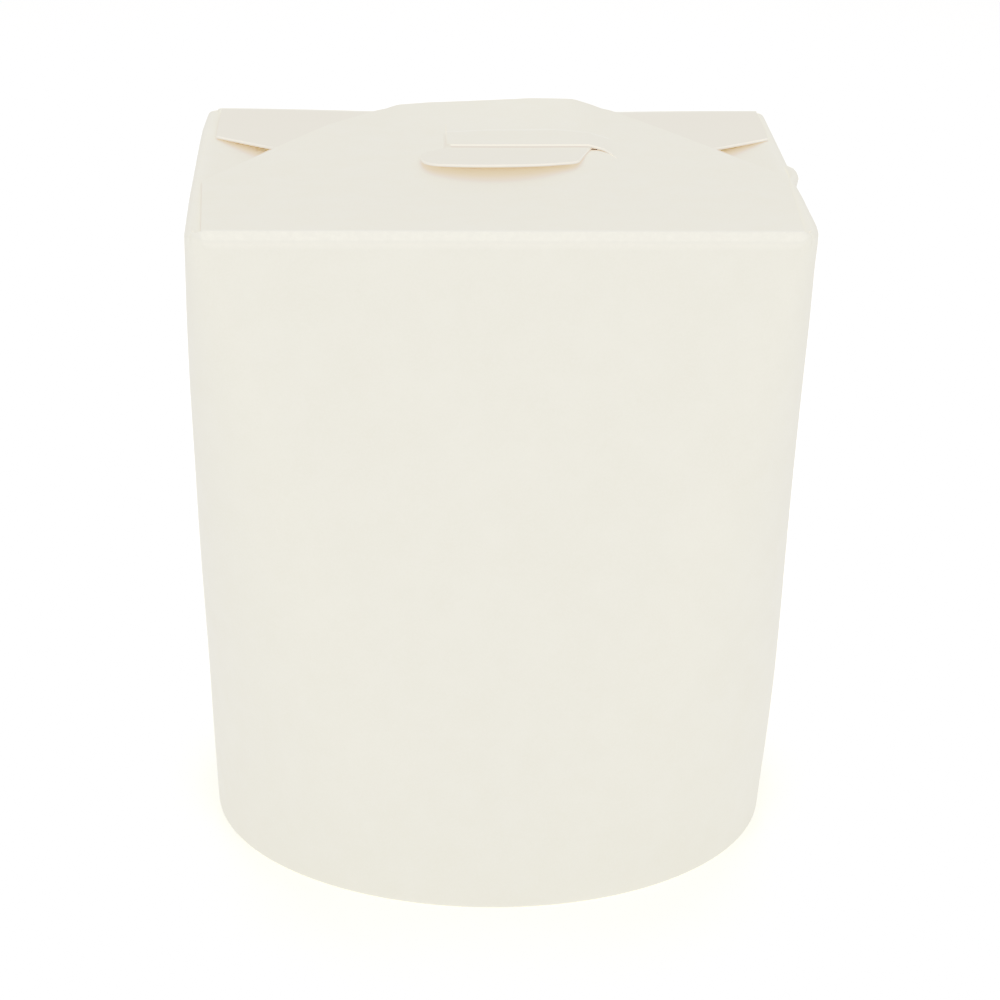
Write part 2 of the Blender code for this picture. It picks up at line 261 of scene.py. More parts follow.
SIDE_FORM_RIGHT = [
    (0.0, 0.0), (0.008, 0.00008), (0.015, 0.00019), (0.022, 0.00027), (0.030, 0.00029),
    (0.037, 0.00022), (0.045, 0.00010), (0.053, -0.00006), (0.060, -0.00018), (0.067, -0.00025),
    (0.074, -0.00026), (0.082, -0.00021), (0.090, -0.00013), (0.097, -0.00006), (0.104, 0.0),
    (0.1204, 0.0),
]

# The nudge in the right side fold and the slits at the corners
NUDGE_Y = -0.0014
NUDGE_OUT = 0.00104
NUDGE_UP = 0.00025
NUDGE_LENGTH = 0.0044
NUDGE_REACH = 0.0032
NUDGE_SQUARE = 4
CORNER_SLIT_TURN = 0.89
CORNER_SLIT_DEPTH = 0.00028
CORNER_SLIT_WIDTH = 0.00012
CORNER_SLIT_LENGTH = 0.0016

# Glued seam down the back right corner: spans are distances below the crest and above the foot
SEAM_TURN = 1.15
SEAM_EDGE_TURN = 0.0006
SEAM_WIDTH = 0.012
SEAM_EASE = 0.003
SEAM_STEP = 0.00038
SEAM_TOP_SPAN = (0.0016, 0.004)
SEAM_FOOT_SPAN = (0.0, 0.002)

# Base disc: its rim, and its pressed ring as radii and heights, seen from above and from below
DISC_RIM = 0.0012
DISC_ROUND = 0.00008
DISC_TURN_STEPS = 8
DISC_STEPS = 180
DISC_RING_ABOVE = [(0.030, 0.0), (0.0315, -0.00012), (0.033, 0.0)]
DISC_RING_BELOW = [(0.0335, 0.0), (0.0325, -0.00010), (0.0315, -0.00016), (0.0305, -0.00010), (0.0295, 0.0)]
DISC_RAW_LEVEL = 0.00006

# Colours of the board, and how much deeper the back flap's tone is than the rest
BOARD_CREAM = (0.853, 0.829, 0.650)
BOARD_CREAM_DEEP = (0.830, 0.802, 0.612)
BOARD_PALE = (0.888, 0.868, 0.720)
SHEET_DEEP = (0.772, 0.742, 0.590)
# Folds and creases pale towards this colour: wear and a painted highlight
FOLD_PALE_AND_HIGHLIGHT = (0.975, 0.955, 0.820)
PLAIN_CREAM = (0.965, 0.825, 0.725)
PLAIN_CREAM_DEEP = (0.945, 0.795, 0.690)
BASE_CREAM = (0.860, 0.828, 0.670)
BASE_CREAM_DEEP = (0.830, 0.792, 0.628)
EDGE_PALE = (0.990, 0.960, 0.840)
EDGE_WARM = (0.980, 0.930, 0.780)
TONGUE_TONE = 0.40
FLAP_TONE = 0.90
FLAP_TONE_SPAN = (0.016, 0.028)
FLAP_TONE_EASE = 0.0015

# Surfaces: roughness from and to, gloss, and the painted glow that brightens the cut edges, standing in for
# light inside the pulp
COAT_ROUGH = (0.44, 0.54)
COAT_SPECULAR = 0.35
PLAIN_ROUGH = (0.66, 0.8)
PLAIN_SPECULAR = 0.3
EDGE_ROUGH = (0.8, 0.95)
EDGE_SPECULAR = 0.2
EDGE_PAINTED_GLOW = 0.10

# Camera, fitted to the photo's outline: metres and radians, lens and sensor in millimetres
CAMERA_PLACE = (-0.01912, -0.58519, 0.26455)
CAMERA_PITCH = 0.3392
CAMERA_TURN = -0.0355
CAMERA_ROLL = 0.0109
CAMERA_LENS = 121.73
SENSOR = 36.0
CAMERA_NEAR = 0.01
CAMERA_FAR = 50

# Film response of each colour, from scene light to the picture
FILM_RED = [
    (0.006, 0.17), (0.02, 0.33), (0.06, 0.56), (0.12, 0.700), (0.22, 0.752), (0.34, 0.773),
    (0.46, 0.785), (0.56, 0.794), (0.66, 0.820), (0.78, 0.908), (0.88, 1.0),
]
FILM_GREEN = [
    (0.006, 0.13), (0.02, 0.26), (0.06, 0.49), (0.12, 0.612), (0.22, 0.662), (0.34, 0.695),
    (0.46, 0.726), (0.56, 0.764), (0.66, 0.815), (0.78, 0.908), (0.88, 1.0),
]
FILM_BLUE = [
    (0.006, 0.11), (0.02, 0.235), (0.06, 0.43), (0.12, 0.502), (0.22, 0.572), (0.34, 0.643),
    (0.46, 0.697), (0.50, 0.722), (0.54, 0.750), (0.66, 0.815), (0.78, 0.908), (0.88, 1.0),
]

# Light
DIFFUSE_BOUNCES = 8
WORLD_COLOUR = (1.0, 0.988, 0.995)
WORLD_STRENGTH = 0.49
BOX_MIDDLE = (0, 0, 0.07)
BOX_TOP = (0, 0, 0.11)
FRONT_PLACE = (0.0, -1.30, 0.48)
FRONT_SIZE = 1.0
FRONT_POWER = 0.3
KEY_PLACE = (0.0, -0.95, 1.05)
KEY_SIZE = 1.0
KEY_POWER = 3.5
TOP_PLACE = (0.0, 0.45, 1.12)
TOP_SIZE = 0.9
TOP_COLOUR = (1.0, 0.985, 0.920)
TOP_POWER = 2.75

# Floor
FLOOR_RADIUS = 6.0
FLOOR_SIDES = 96
FLOOR_SHADES = ((0.960, 0.960, 0.960), (0.975, 0.975, 0.975))
FLOOR_ROUGH = 0.9
FLOOR_SPECULAR = 0.1
FLOOR_GLOW = 0.215

root = "root"


def smooth_step(value, low, high):
    """Eases from 0 at low to 1 at high."""
    share = np.clip((value - low) / (high - low), 0.0, 1.0)
    return share * share * (3 - 2 * share)


def along_table(value, table):
    """The value between the rows of a table."""
    rows = np.array(table)
    return np.interp(value, rows[:, 0], rows[:, 1])


def bend(start, corner, end, steps):
    """Points of a smooth turn from start to end that heads for the corner between them."""
    start, corner, end = Vector(start), Vector(corner), Vector(end)
    points = []
    for step in range(steps + 1):
        share = step / steps
        point = start * (1 - share) ** 2 + corner * 2 * share * (1 - share) + end * share**2
        points.append((point.x, point.y))
    return points


def waves(points, length, seed):
    """Smooth unevenness from -1 to 1 at each point."""
    shift = Vector((seed, seed, seed))
    return np.array([noise.noise(Vector(p) / length + shift) for p in points])


def warp(x, y):
    """The lid's rear corners stand a little high."""
    back = smooth_step(y, *WARP_DEPTH_SPAN)
    left = REAR_LEFT_WARP * smooth_step(-x, *WARP_LEFT_SPAN) * back
    right = REAR_RIGHT_WARP * smooth_step(x, *WARP_RIGHT_SPAN) * back
    return left + right + REAR_RISE * back


def linked(name, data):
    """An object with this data, put into the scene."""
    item = bpy.data.objects.new(name, data)
    bpy.context.scene.collection.objects.link(item)
    return item


def point_values(mesh, name, values):
    """Gives each point of a mesh a value that its material reads."""
    attribute = mesh.attributes.new(name, "FLOAT", "POINT")
    attribute.data.foreach_set("value", np.asarray(values, dtype=np.float32))


def smooth_mesh(name, coordinates, faces, materials, kinds, worn_and_highlit):
    """A smooth-shaded mesh with a kind of material for each face and, for each point, a value of wear and
    painted highlight.
    """
    mesh = bpy.data.meshes.new(name)
    mesh.from_pydata([tuple(p) for p in coordinates], [], faces)
    for material in materials:
        mesh.materials.append(material)
    mesh.polygons.foreach_set("material_index", kinds)
    mesh.polygons.foreach_set("use_smooth", [True] * len(faces))
    point_values(mesh, "fold_wear_and_highlight", worn_and_highlit)
    return mesh


# Body


def stations():
    """Places round the body: where between its corners, and the direction it faces."""
    rows = []
    for quarter in range(4):
        here, there = CORNERS[quarter], CORNERS[(quarter + 1) % 4]
        turns = [step / CORNER_STEPS for step in range(CORNER_STEPS)]
        if quarter == 0:
            turns = sorted(turns + [SEAM_TURN / (pi / 2) - SEAM_EDGE_TURN])
        for turn in turns:
            rows.append((*here, pi / 2 * (quarter + turn)))
        for step in range(PANEL_STEPS):
            even = step / PANEL_STEPS
            # Half even and half eased, which sets the places closer together near the corners
            share = 0.5 * even + 0.25 * (1 - cos(pi * even))
            x = here[0] + (there[0] - here[0]) * share
            y = here[1] + (there[1] - here[1]) * share
            rows.append((x, y, pi / 2 * (quarter + 1)))
    return np.array(rows)


def seam_place(places):
    """The number of the first place past the glued seam's edge."""
    return int(np.argmax(places[:, 2] >= SEAM_TURN - SAME_TURN))


def ring(places, level, inset):
    """The body's outline at one level for every place, moved in by inset."""
    share = level / HEIGHT
    radius = FOOT_DIAMETER / 2 * (1 - share) + CORNER_RADIUS * share
    radius = radius + PANEL_BULGE * 4 * share * (1 - share)
    radius = radius - HEM_INSET * np.maximum(0.0, 1 - share / HEM_SHARE) ** 2
    tight = np.maximum(radius - inset, SMALLEST_RADIUS)
    pulled = inset - (radius - tight)
    reach_x = share * (TOP_WIDTH / 2 - CORNER_RADIUS) - pulled
    reach_y = share * (TOP_DEPTH / 2 - CORNER_RADIUS) - pulled
    x = places[:, 0] * reach_x + tight * np.cos(places[:, 2])
    y = places[:, 1] * reach_y + tight * np.sin(places[:, 2])
    return np.column_stack([x, y, level + 0 * x])


def flap_share(places):
    """1 where the front or back flap is hinged, 0 along the sides and at the corners."""
    x = ring(places, HEIGHT, 0.0)[:, 0]
    faces_front = np.sin(places[:, 2]) < -FACING
    faces_back = np.sin(places[:, 2]) > FACING
    front = smooth_step(x, FRONT_FOLD_LEFT - FOLD_END_EASE, FRONT_FOLD_LEFT)
    front = front * smooth_step(-x, -FRONT_FOLD_RIGHT - FOLD_END_EASE, -FRONT_FOLD_RIGHT)
    back = smooth_step(x, -BACK_LEFT - FOLD_END_EASE, -BACK_LEFT)
    back = back * smooth_step(-x, -BACK_RIGHT - FOLD_END_EASE, -BACK_RIGHT)
    return front * faces_front + back * faces_back


def nudge_share(y):
    """1 at the nudge in the right side fold, 0 away from it."""
    return np.exp(-(((y - NUDGE_Y) / NUDGE_LENGTH) ** NUDGE_SQUARE))


def board_relief(places, points, below_crest):
    """How far out each point of a ring is pushed: unevenness, bowed sides, the nudge and the slits."""
    facing = places[:, 2]
    y, level = points[:, 1], points[:, 2]
    out = PANEL_WAVE * waves(points, PANEL_WAVE_LENGTH, PANEL_WAVE_SEED) * smooth_step(level, *PANEL_WAVE_SPAN)

    side = np.cos(facing) ** SIDE_FACING_CURVE
    on_right = np.cos(facing) > 0
    right = side * on_right
    near_top = np.clip(1 - below_crest / SIDE_BOW_REACH, 0, 1) ** 2
    out = out + (side - right) * near_top * along_table(y, SIDE_BOW_LEFT)
    even = SIDE_BOW * np.clip(1 - (y / (TOP_DEPTH / 2)) ** 2, 0, 1)
    edge = np.exp(-((below_crest / SIDE_BOW_EDGE) ** 2))
    out = out + right * (near_top * even + edge * (along_table(y, SIDE_BOW_RIGHT) - even))

    nudge = nudge_share(y) * np.exp(-((below_crest / NUDGE_REACH) ** 2))
    out = out + NUDGE_OUT * right * nudge
    form = np.where(on_right, along_table(level, SIDE_FORM_RIGHT), along_table(level, SIDE_FORM_LEFT))
    out = out + np.cos(facing) ** 2 * form

    down = 1 - smooth_step(below_crest, CORNER_SLIT_LENGTH * 0.5, CORNER_SLIT_LENGTH)
    for quarter, (sign_x, sign_y) in enumerate(CORNERS):
        turned = CORNER_SLIT_TURN if quarter in (2, 0) else pi / 2 - CORNER_SLIT_TURN
        corner = (places[:, 0] == sign_x) & (places[:, 1] == sign_y)
        across = (facing - pi / 2 * quarter - turned) * CORNER_RADIUS / CORNER_SLIT_WIDTH
        out = out - CORNER_SLIT_DEPTH * corner * np.exp(-(across**2)) * down
    return out


def seam_relief(places, points, below_crest):
    """The outer board's end at the glued seam, which stands proud of the board under it."""
    first = seam_place(places)
    steps = np.linalg.norm(np.diff(points[:, :2], axis=0), axis=1)
    along = np.concatenate([[0.0], np.cumsum(steps)])
    past = along - along[first]
    on = (np.arange(len(places)) >= first) & (past < SEAM_WIDTH + SEAM_EASE)
    proud = 1 - smooth_step(past, SEAM_WIDTH, SEAM_WIDTH + SEAM_EASE)
    fade = smooth_step(below_crest, *SEAM_TOP_SPAN) * smooth_step(points[:, 2], *SEAM_FOOT_SPAN)
    return SEAM_STEP * on * proud * fade


def body_wrap():
    """The folded board of the body, from the ceiling of the foot's recess to under the flaps."""
    places = stations()
    facing = places[:, 2]
    outward = np.column_stack([np.cos(facing), np.sin(facing), 0 * facing])
    hinge = flap_share(places)
    top = ring(places, HEIGHT, 0.0)
    crest = HEIGHT - SIDE_DROP * (1 - hinge) - FRONT_DROP * hinge * (np.sin(facing) < 0)
    crest = crest + warp(top[:, 0], top[:, 1])
    crest = crest + NUDGE_UP * (np.cos(facing) > FACING) * nudge_share(top[:, 1])
    rings, folds = [], []

    inner = FOOT_DIAMETER / 2 - FOOT_WALL
    outer = FOOT_DIAMETER / 2 - HEM_INSET
    middle, half = (inner + outer) / 2, (outer - inner) / 2
    for level in (FOOT_DEPTH, *HEM_INNER_LEVELS):
        rings.append(outward * inner + np.array([0, 0, level]))
        folds.append(0.0)
    for step in range(HEM_STEPS):
        angle = pi * step / HEM_STEPS
        across = (1 if angle < pi / 2 else -1) * abs(cos(angle)) ** HEM_SQUARE
        level = half * (1 - sin(angle) ** HEM_SQUARE)
        rings.append(outward * (middle - half * across) + np.array([0, 0, level]))
        # The hem's bottom is paler too: wear and a painted highlight
        folds.append(sin(angle))

    flap_fold, side_fold = np.array(FLAP_FOLD), np.array(SIDE_FOLD)
    panel_top = crest - (flap_fold[0, 1] * hinge + side_fold[0, 1] * (1 - hinge))
    for step in range(BODY_LEVELS):
        share = step / BODY_LEVELS
        level = half + (panel_top - half) * ((1 + LEVEL_CROWD) * share - LEVEL_CROWD * share**2)
        points = ring(places, level, 0.0)
        below = crest - level
        push = board_relief(places, points, below) + seam_relief(places, points, below)
        rings.append(points + outward * push[:, None])
        folds.append(0.0)
    for index in range(len(FLAP_FOLD)):
        inset, below = np.outer(flap_fold[index], hinge) + np.outer(side_fold[index], 1 - hinge)
        points = ring(places, crest - below, inset)
        rings.append(points + outward * board_relief(places, points, below)[:, None])
        # Paler at the fold: wear and a painted highlight of the light on the rounded fold
        wear_and_highlight = 1.0 if index in WORN_AND_HIGHLIT_RINGS else FOLD_RIM_WEAR_AND_HIGHLIGHT
        folds.append(wear_and_highlight * (SIDE_WEAR_AND_HIGHLIGHT + (1 - SIDE_WEAR_AND_HIGHLIGHT) * hinge))
    for inset, below in INNER_RINGS:
        rings.append(ring(places, crest - below, inset))
        folds.append(0.0)

    count = len(places)
    seam = seam_place(places) - 1
    last = (len(rings) - 1) * count
    faces, kinds = [], []
    for low in range(0, last, count):
        for i in range(count):
            after = (i + 1) % count
            faces.append((low + i, low + after, low + count + after, low + count + i))
            kinds.append(1 if i == seam else 0)
    faces += [tuple(range(count))[::-1], tuple(range(last, last + count))]
    kinds += [0, 0]
    worn_and_highlit = np.concatenate([fold * np.ones(count) for fold in folds])
    mesh = smooth_mesh("body", np.concatenate(rings), faces, [coated, raw_edge], kinds, worn_and_highlit)
    bm = bmesh.new()
    bm.from_mesh(mesh)
    bmesh.ops.remove_doubles(bm, verts=bm.verts, dist=SAME_PLACE)
    bmesh.ops.recalc_face_normals(bm, faces=bm.faces)
    bm.to_mesh(mesh)
    bm.free()
    mesh.set_sharp_from_angle(angle=SHARP_ANGLE)
    return linked("body", mesh)


# Flaps


def dense_loop(loop, spacing, closed=True):
    """The same outline with more points, none further apart than spacing."""
    points = []
    pairs = list(zip(loop, loop[1:] + loop[:1])) if closed else list(zip(loop, loop[1:]))
    for (ax, ay), (bx, by) in pairs:
        steps = max(1, int(np.ceil(np.hypot(bx - ax, by - ay) / spacing)))
        points += [(ax + (bx - ax) * i / steps, ay + (by - ay) * i / steps) for i in range(steps)]
    if not closed:
        points.append(loop[-1])
    return points


def inside(points, loop):
    """Which points are inside a closed outline."""
    x, y = points[:, 0], points[:, 1]
    hit = np.zeros(len(points), dtype=bool)
    for (ax, ay), (bx, by) in zip(loop, loop[1:] + loop[:1]):
        crosses = (ay > y) != (by > y)
        with np.errstate(divide="ignore", invalid="ignore"):
            at = (bx - ax) * (y - ay) / (by - ay) + ax
        hit ^= crosses & (x < at)
    return hit


def far_enough(points, loop, gap):
    """Which points keep a gap from every point of an outline."""
    keep = np.ones(len(points), dtype=bool)
    for bx, by in loop:
        keep &= (points[:, 0] - bx) ** 2 + (points[:, 1] - by) ** 2 > gap**2
    return keep


def grid(low, high, spacing):
    """Points of a triangular grid over a rectangle."""
    rows = []
    tall = spacing * GRID_TALL
    for j in range(int((high[1] - low[1]) / tall) + 2):
        shift = spacing / 2 if j % 2 else 0
        for i in range(int((high[0] - low[0]) / spacing) + 2):
            rows.append((low[0] + i * spacing + shift, low[1] + j * tall))
    return np.array(rows)


def flat_sheet(outline, holes, fine):
    """A cut sheet laid flat: its outline and holes filled with points, and the triangles between them."""
    loops = [dense_loop(outline, WIDE_SPACING)] + [dense_loop(hole, FINE_SPACING) for hole in holes]
    points = grid(np.min(outline, axis=0), np.max(outline, axis=0), WIDE_SPACING)
    if fine:
        (x0, y0), (x1, y1) = fine
        within = (points[:, 0] > x0) & (points[:, 0] < x1) & (points[:, 1] > y0) & (points[:, 1] < y1)
        dense = grid((x0, y0), (x1, y1), FINE_SPACING)
        dense = dense[(dense[:, 0] < x1) & (dense[:, 1] < y1)]
        points = np.concatenate([points[~within], dense])
    points = points[inside(points, loops[0])]
    for hole in loops[1:]:
        points = points[~inside(points, hole)]
        points = points[far_enough(points, hole, FINE_SPACING * HOLE_GAP)]
    points = points[far_enough(points, loops[0], WIDE_SPACING * RIM_GAP)]
    verts, edges = [], []
    for loop in loops:
        start = len(verts)
        verts += [Vector(p) for p in loop]
        edges += [(start + i, start + (i + 1) % len(loop)) for i in range(len(loop))]
    verts += [Vector(p) for p in points]
    made, _, faces, _, _, _ = delaunay_2d_cdt(verts, edges, [], 1, SAME_FLAT_PLACE)
    flat = np.array([(v.x, v.y) for v in made])
    middles = np.array([flat[list(f)].mean(axis=0) for f in faces])
    for hole in loops[1:]:
        keep = ~inside(middles, hole)
        faces = [f for f, k in zip(faces, keep) if k]
        middles = middles[keep]
    return flat, faces


def cut_edge(flat, up, faces, first):
    """The raw edge round a sheet: its points, numbered from first, and its faces."""
    sides = dict.fromkeys((a, b) for f in faces for a, b in zip(f, f[1:] + f[:1]))
    rim = [(a, b) for a, b in sides if (b, a) not in sides]
    outward = {}
    for a, b in rim:
        side = flat[b] - flat[a]
        normal = np.array([side[1], -side[0]]) / max(np.linalg.norm(side), NO_LENGTH)
        for i in (a, b):
            outward[i] = outward.get(i, 0) + normal
    numbers, points = {}, []
    for i, normal in outward.items():
        normal = normal / max(np.linalg.norm(normal), NO_LENGTH)
        numbers[i] = first + len(points)
        points += [(*(flat[i] + normal * push), up[i] - drop * BOARD) for drop, push in EDGE_PROFILE]
    edge_faces = []
    for a, b in rim:
        for layer in range(len(EDGE_PROFILE) - 1):
            here, there = numbers[a] + layer, numbers[b] + layer
            edge_faces.append((here, here + 1, there + 1, there))
    return np.array(points), edge_faces


def board(name, outline, holes, top, worn_and_highlit, fine=None, tone=None):
    """A cut sheet of board bent by top: coated above, plain below, raw at its cut edges."""
    flat, faces = flat_sheet(outline, holes, fine)
    count = len(flat)
    up, wear_and_highlight = top(flat[:, 0], flat[:, 1]), worn_and_highlit(flat[:, 0], flat[:, 1])
    edge, edge_faces = cut_edge(flat, up, faces, 2 * count)
    coordinates = np.concatenate([np.column_stack([flat, up]), np.column_stack([flat, up - BOARD]), edge])
    under = [tuple(count + i for i in f)[::-1] for f in faces]
    all_faces = [tuple(f) for f in faces] + under + edge_faces
    kinds = [0] * len(faces) + [2] * len(under) + [1] * len(edge_faces)
    all_wear_and_highlight = np.concatenate([wear_and_highlight, wear_and_highlight, np.zeros(len(edge))])
    mesh = smooth_mesh(name, coordinates, all_faces, [coated, raw_edge, uncoated], kinds, all_wear_and_highlight)
    if tone:
        point_values(mesh, "sheet_tone", tone(coordinates[:, 0], coordinates[:, 1]))
    return linked(name, mesh)


def lid_wave(x, y):
    """Slight unevenness shared by the stacked flaps, so that they stay apart."""
    return LID_WAVE * waves(np.column_stack([x, y, 0 * x]), LID_WAVE_LENGTH, LID_WAVE_SEED)


def front_base(x, y):
    """The front flap climbs from its fold over the back flap, and its free end springs up."""
    share = np.clip((y - FRONT_CREST_Y) / (FRONT_RISE_END_Y - FRONT_CREST_Y), 0, None)
    rise = FRONT_RISE * share**FRONT_RISE_CURVE
    free = np.clip((y - LIFT_START_Y) / (FRONT_END_Y - LIFT_START_Y), 0, None)
    shifts = np.linspace(-LIFT_SOFTEN, LIFT_SOFTEN, LIFT_SAMPLES)
    lift = np.mean([along_table(x + shift, FREE_END_LIFT) for shift in shifts], axis=0) * free**LIFT_CURVE
    wave = lid_wave(x, y) * smooth_step(y, FRONT_CREST_Y, FRONT_CREST_Y + LID_WAVE_EASE)
    return HEIGHT - FRONT_DROP - FLAP_SINK + rise + lift + wave + warp(x, y)


def slot_line():
    """The slot from left to right: straight, then bending forwards."""
    corner = (SLOT_END[0] - SLOT_BEND_LEAN, SLOT_Y)
    return [(SLOT_LEFT, SLOT_Y)] + bend((SLOT_STRAIGHT_END, SLOT_Y), corner, SLOT_END, SLOT_BEND_STEPS)


def tongue_top(x, y):
    """The tongue comes up through the slot and rises a little towards its front edge."""
    ahead = np.clip((SLOT_Y - y) / (SLOT_Y - TONGUE_FRONT_Y), 0, None)
    behind = smooth_step(-y, -TONGUE_ROOT_Y, -SLOT_Y)
    middle = (TONGUE_SPAN[0] + TONGUE_SPAN[1]) / 2
    half = (TONGUE_SPAN[1] - TONGUE_SPAN[0]) / 2
    droop = TONGUE_DROOP * ((x - middle) / half) ** 2 * np.clip(ahead, 0, 1)
    risen = TONGUE_AT_SLOT * behind + (TONGUE_RISE - TONGUE_AT_SLOT) * ahead**TONGUE_CURVE - droop
    return np.where(y < SLOT_Y, risen, TONGUE_AT_SLOT * behind)


def front_top(x, y):
    """The front flap with the door behind its slot pushed up and its front side pressed down."""
    line = along_table(x, slot_line())
    crease = along_table(x, LIP_CREASE)
    behind = (y > line) & (x > SLOT_LEFT) & (x < LIP_RIGHT)
    back = np.clip((crease - y) / (crease - line), 0, 1)
    lip = np.where(behind, LIP_RISE * back**LIP_CURVE * along_table(x, LIP_END), 0)
    creased = np.exp(-(((y - crease) / CREASE_HALF) ** 2)) * (x > SLOT_LEFT) * (x < CREASE_RIGHT)
    ahead = np.clip((line - y) / SLOT_PRESS_REACH, 0, 1)
    under = smooth_step(x, SLOT_LEFT - SLOT_PRESS_START, SLOT_LEFT + SLOT_PRESS_START)
    under = under * (1 - smooth_step(x, *SLOT_PRESS_END))
    pressed = np.where(y <= line, SLOT_PRESS * (1 - ahead) ** SLOT_PRESS_CURVE * under, 0)
    return front_base(x, y) + lip - CREASE_DEPTH * creased - pressed


def front_outline():
    """Fold, shoulders, slanted sides and a free end with rounded corners."""
    sides = []
    for side, fold_x, shoulder, middle, end_x, turn in (
        (1, FRONT_FOLD_RIGHT, SHOULDER_RIGHT, FRONT_SIDE_RIGHT, FRONT_END_RIGHT, FRONT_END_TURN_RIGHT),
        (-1, FRONT_FOLD_LEFT, SHOULDER_LEFT, FRONT_SIDE_LEFT, FRONT_END_LEFT, FRONT_END_TURN_LEFT),
    ):
        corner = Vector((end_x, FRONT_END_Y))
        start = corner + (Vector(middle) - corner).normalized() * turn[0]
        end = corner - Vector((side * turn[1], 0))
        turned = bend(start, corner, end, FRONT_TURN_STEPS)
        sides.append([(fold_x, FRONT_CREST_Y), shoulder, middle] + turned)
    return sides[0] + sides[1][::-1]


def cut_loop(line, half):
    """A narrow closed cut along a line, pointed at its ends."""
    line = [Vector(p) for p in line]
    left, right = [], []
    for i in range(1, len(line) - 1):
        along = (line[i + 1] - line[i - 1]).normalized()
        across = Vector((-along.y, along.x)) * half
        left.append(tuple(line[i] + across))
        right.append(tuple(line[i] - across))
    return [tuple(line[0])] + left + [tuple(line[-1])] + right[::-1]


def front_flap():
    """The front flap: one cut runs down the door's left side and along the slot."""
    start = (DOOR_CUT_END[0] - DOOR_CUT_LEAN, SLOT_Y + DOOR_CUT_TURN)
    turn = bend(start, (SLOT_LEFT, SLOT_Y), (SLOT_LEFT + DOOR_CUT_TURN, SLOT_Y), DOOR_TURN_STEPS)
    path = [DOOR_CUT_END] + turn + slot_line()[1:]
    hole = cut_loop(dense_loop(path, FINE_SPACING, closed=False), CUT_HALF)

    # Paler at the fold and along the lip's crease: wear and a painted highlight
    def worn_and_highlit(x, y):
        fold = 1 - smooth_step(y, FRONT_CREST_Y, FRONT_CREST_Y + FOLD_WEAR_AND_HIGHLIGHT_REACH)
        from_crease = (y - along_table(x, LIP_CREASE)) / CREASE_WEAR_AND_HIGHLIGHT_HALF
        crease = CREASE_WEAR_AND_HIGHLIGHT * np.exp(-(from_crease**2)) * (x > SLOT_LEFT) * (x < CREASE_RIGHT)
        return np.clip(fold + crease, 0, 1)

    return board("front_flap", front_outline(), [hole], front_top, worn_and_highlit, FRONT_FINE_AREA)


def rounded(line):
    """An open line with its inner corners cut twice, so that it runs smoothly."""
    for _ in range(2):
        cut = [line[0]]
        for (ax, ay), (bx, by) in zip(line, line[1:]):
            cut.append((ax * 0.75 + bx * 0.25, ay * 0.75 + by * 0.25))
            cut.append((ax * 0.25 + bx * 0.75, ay * 0.25 + by * 0.75))
        line = cut + [line[-1]]
    return line


def tongue_outline():
    """A neck in the slot, an ear hooked past the slot's left end and a rounded front."""
    left, right = TONGUE_SPAN
    left_y, right_y = TONGUE_SHOULDER_Y
    crown = ((left + right) / 2, 2 * TONGUE_FRONT_Y - (left_y + right_y) / 2)
    front = bend((left, left_y), crown, (right, right_y), TONGUE_FRONT_STEPS)
    loop = [(TONGUE_NECK[0], SLOT_Y)] + TONGUE_LEFT + front + TONGUE_RIGHT + [(TONGUE_NECK[1], SLOT_Y)]
    return rounded(loop)


def on_tongue(x, y):
    """1 on the tongue and its neck, 0 on the back flap's shoulders."""
    left, right = TONGUE_NECK
    neck = (x > left - TONGUE_NECK_REACH) & (x < right + TONGUE_NECK_REACH)
    ease = smooth_step(x, left - TONGUE_NECK_EASE, left) * (1 - smooth_step(x, right, right + TONGUE_NECK_EASE))
    return np.where(y < SLOT_Y, neck * 1.0, neck * ease)


def back_top(x, y):
    """The back flap rises a little behind its fold, and its tongue comes up through the slot."""
    rise = BACK_RISE * smooth_step(y, *BACK_RISE_SPAN)
    wave = lid_wave(x, y) * (1 - smooth_step(y, BACK_CREST_Y - LID_WAVE_EASE, BACK_CREST_Y))
    flap = HEIGHT - FLAP_SINK + rise * (1 - smooth_step(y, BACK_EASE_Y, BACK_CREST_Y)) + wave + warp(x, y)
    return flap + np.where(y < TONGUE_ROOT_Y, tongue_top(x, y) * on_tongue(x, y), 0)


def back_flap():
    """The back flap with its tongue: shown at its corners and on top, hidden in between."""
    left = [
        (-BACK_LEFT, BACK_CREST_Y), (-BACK_LEFT, BACK_EDGE_OUTER_Y), (-BACK_EDGE_INNER[0], BACK_EDGE_INNER[1]),
        (-BACK_HIDDEN_EDGE[0], BACK_HIDDEN_EDGE[1]), *BACK_HIDDEN_LEFT,
        (TONGUE_NECK[0] - TONGUE_CUT, TONGUE_CUT_Y[0]),
    ]
    right = [
        (TONGUE_NECK[1] + TONGUE_CUT, TONGUE_CUT_Y[1]), BACK_SLOT_CLEAR, BACK_HIDDEN_EDGE, BACK_EDGE_INNER,
        (BACK_RIGHT, BACK_EDGE_OUTER_Y), (BACK_RIGHT, BACK_CREST_Y),
    ]

    # Paler at the fold: wear and a painted highlight
    def worn_and_highlit(x, y):
        return smooth_step(y, BACK_CREST_Y - FOLD_WEAR_AND_HIGHLIGHT_REACH, BACK_CREST_Y)

    def tone(x, y):
        before_fold = 1 - smooth_step(y, BACK_CREST_Y - FLAP_TONE_EASE, BACK_CREST_Y)
        shoulders = smooth_step(np.abs(x), *FLAP_TONE_SPAN)
        return (TONGUE_TONE + (FLAP_TONE - TONGUE_TONE) * shoulders) * before_fold

    return board("back_flap", left + tongue_outline() + right, [], back_top, worn_and_highlit, BACK_FINE_AREA, tone)


